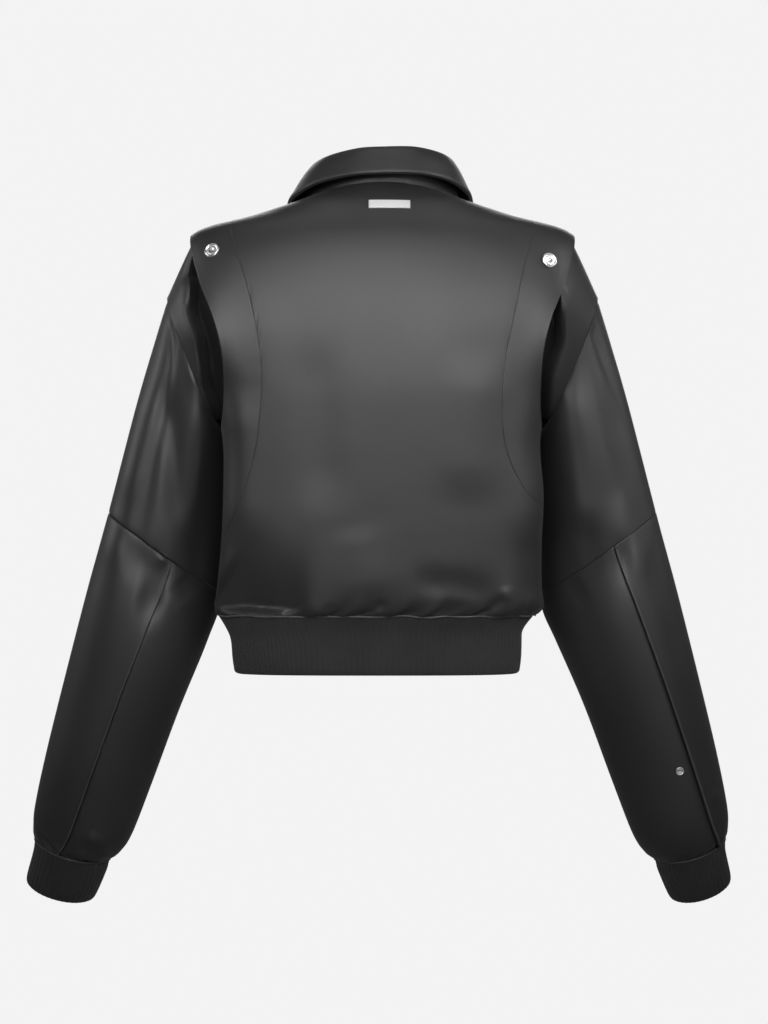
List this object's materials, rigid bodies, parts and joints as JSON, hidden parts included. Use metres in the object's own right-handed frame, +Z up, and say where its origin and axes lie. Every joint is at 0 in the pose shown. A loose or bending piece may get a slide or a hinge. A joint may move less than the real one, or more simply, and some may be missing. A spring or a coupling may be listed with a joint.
{
  "type": "bomber jacket",
  "caption": "Cropped satin bomber jacket, hollow as worn: fold-over collar, snapped vest layer with free armhole wings, dropped sleeves, rib-knit cuffs and hem, closed front zip.",
  "frame": {"origin": "middle of the neck opening, level with the shoulder seams at the neck, where the wearer's shoulders carry the jacket", "axes": "+Z up, +X to the wearer's left; the front with its zip faces -Y and the back +Y"},
  "size_m": [0.7169, 0.252, 0.7557],
  "materials": {
    "satin": "smooth black satin with a soft broad sheen",
    "rib_knit": "matt black rib knit",
    "zip_tape": "matt black woven tape",
    "snap_metal": "bright nickel",
    "zip_metal": "dark gunmetal"
  },
  "bodies": {
    "jacket": {"back": "satin", "front_left": "satin", "wing_back_left": "satin", "wing_front_left": "satin", "side_panel_left": "satin", "sleeve_upper_left": "satin", "sleeve_lower_outer_left": "satin", "sleeve_lower_inner_left": "satin", "cuff_left": "rib_knit", "front_right": "satin", "wing_back_right": "satin", "wing_front_right": "satin", "side_panel_right": "satin", "sleeve_upper_right": "satin", "sleeve_lower_outer_right": "satin", "sleeve_lower_inner_right": "satin", "cuff_right": "rib_knit", "hem_rib": "rib_knit", "collar_stand": "satin", "collar_fall": "satin", "tag_plate": "snap_metal", "snap_left": "snap_metal", "snap_right": "snap_metal", "sleeve_snap": "snap_metal", "zip_tape_left": "zip_tape", "zip_tape_right": "zip_tape", "zip_slider": "zip_metal"},
    "zip_pull": {"zip_pull": "zip_metal"}
  },
  "joints": [
    {"name": "zip_pull_swing", "type": "hinge", "parent": "jacket", "child": "zip_pull", "pos_m": [0, -0.07906, -0.07741], "axis": [-1, 0, 0], "range_deg": [0, 140]}
  ]
}
